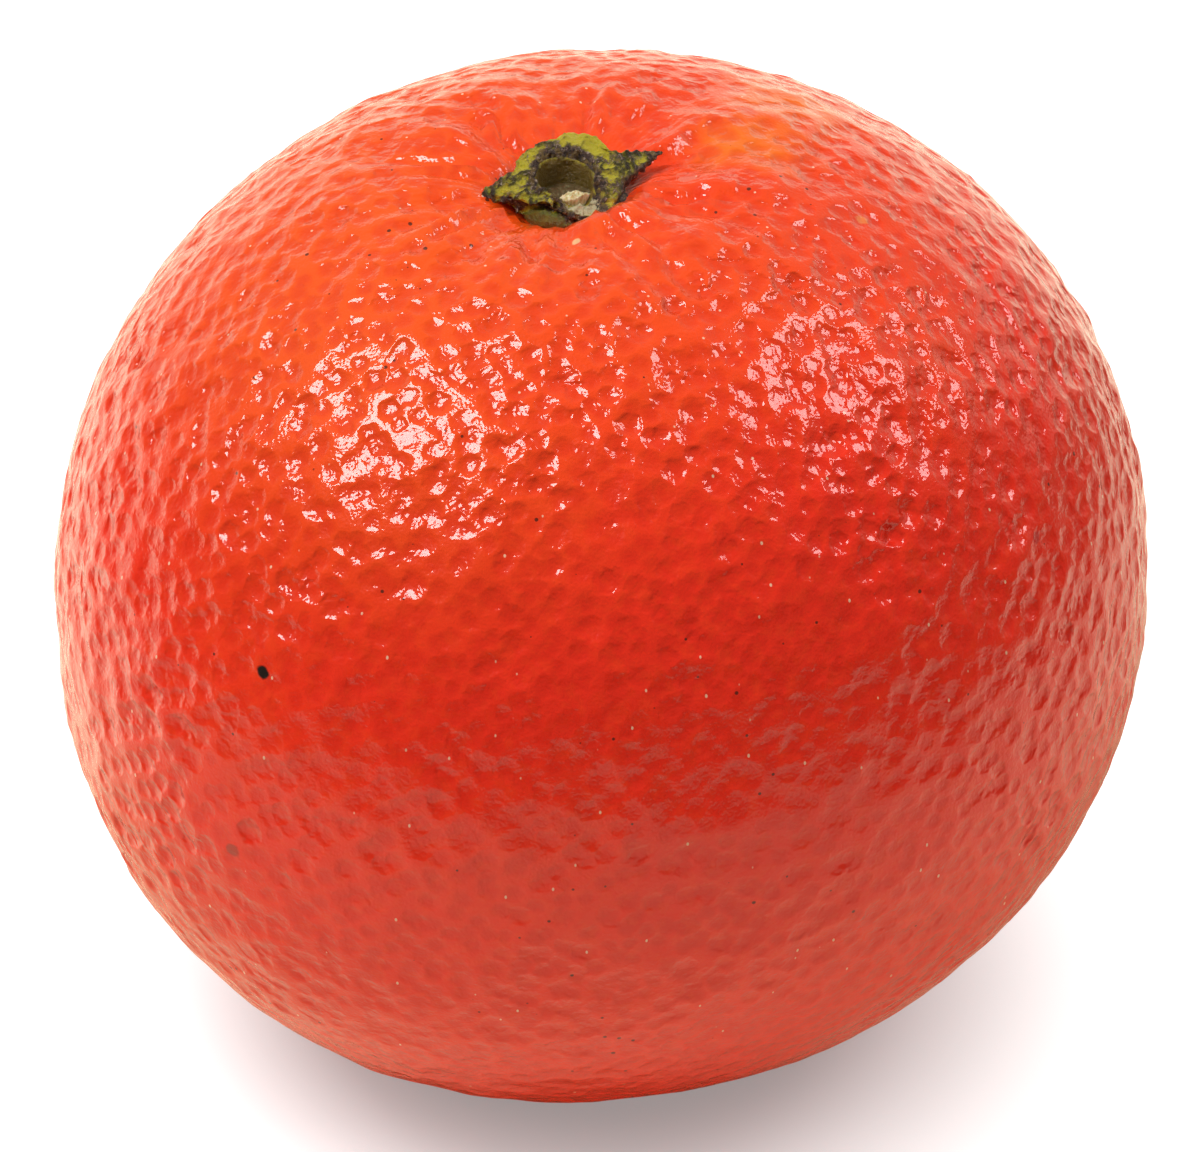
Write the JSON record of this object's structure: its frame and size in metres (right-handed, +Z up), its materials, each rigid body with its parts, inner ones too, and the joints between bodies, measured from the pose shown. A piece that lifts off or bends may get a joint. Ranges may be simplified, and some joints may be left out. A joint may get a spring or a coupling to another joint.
{
  "type": "clementine",
  "caption": "Whole uncut clementine, slightly flattened and lopsided, standing on its flat stylar end with a lobed calyx and an empty stem socket on top.",
  "frame": {"origin": "middle of the box's underside, at the level of the flat spot that the fruit rests on", "axes": "+Z up from the stylar end to the stem end; +X to the right and +Y to the back when seen with the longest sepal on the right"},
  "size_m": [0.06, 0.0584, 0.0541],
  "materials": {
    "peel": "waxed reddish-orange citrus peel, glossy, pitted by oil glands",
    "calyx": "leathery yellow-green with dark corky scars",
    "stem_wood": "torn pale fibre, dry"
  },
  "bodies": {
    "root": {"fruit": "peel", "calyx": "calyx", "stem_wood": "stem_wood"}
  },
  "joints": []
}
